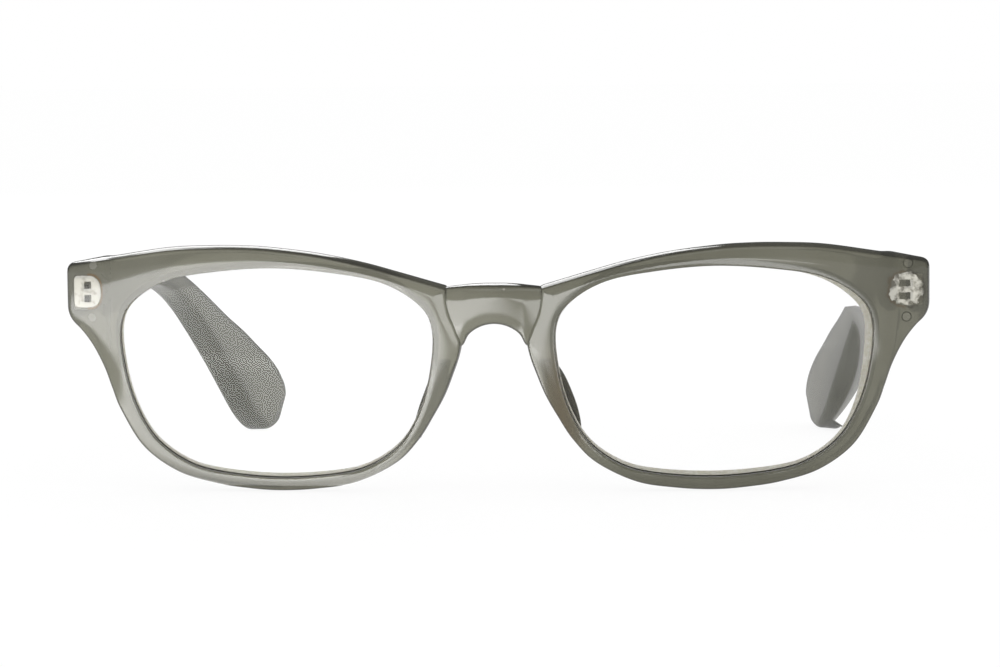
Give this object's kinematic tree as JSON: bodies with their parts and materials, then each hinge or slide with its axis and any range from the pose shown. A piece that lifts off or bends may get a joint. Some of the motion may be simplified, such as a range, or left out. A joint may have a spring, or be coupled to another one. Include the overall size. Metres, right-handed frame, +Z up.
{
  "type": "reading glasses",
  "caption": "Reading glasses: a smoky translucent moulded front with a saddle bridge and fixed nose pads, clear plus lenses, and temples that fold on metal barrel hinges.",
  "frame": {"origin": "middle of the footprint, on the surface that the open glasses stand on", "axes": "+X to the right side of the picture, +Y from the front back towards the ear ends, +Z up"},
  "size_m": [0.1368, 0.1394, 0.0394],
  "materials": {
    "smoky_plastic": "polished translucent smoky grey-green",
    "clear_lens": "clear polished lens plastic",
    "plated_steel": "bright plated"
  },
  "bodies": {
    "front": {"front_frame": "smoky_plastic", "lens_right": "clear_lens", "lens_left": "clear_lens", "hinge_leaf_front_right": "plated_steel", "hinge_leaf_front_left": "plated_steel", "hinge_screw_right": "plated_steel", "hinge_screw_left": "plated_steel"},
    "temple_arm_right": {"temple_right": "smoky_plastic", "hinge_leaf_temple_right": "plated_steel"},
    "temple_arm_left": {"temple_left": "smoky_plastic", "hinge_leaf_temple_left": "plated_steel"}
  },
  "joints": [
    {"name": "fold_right", "type": "hinge", "parent": "front", "child": "temple_arm_right", "pos_m": [0.06499, -0.05665, 0.03148], "axis": [0, 0, 1], "range_deg": [0, 82.5]},
    {"name": "fold_left", "type": "hinge", "parent": "front", "child": "temple_arm_left", "pos_m": [-0.06499, -0.05665, 0.03148], "axis": [0, 0, -1], "range_deg": [0, 77.5]}
  ]
}
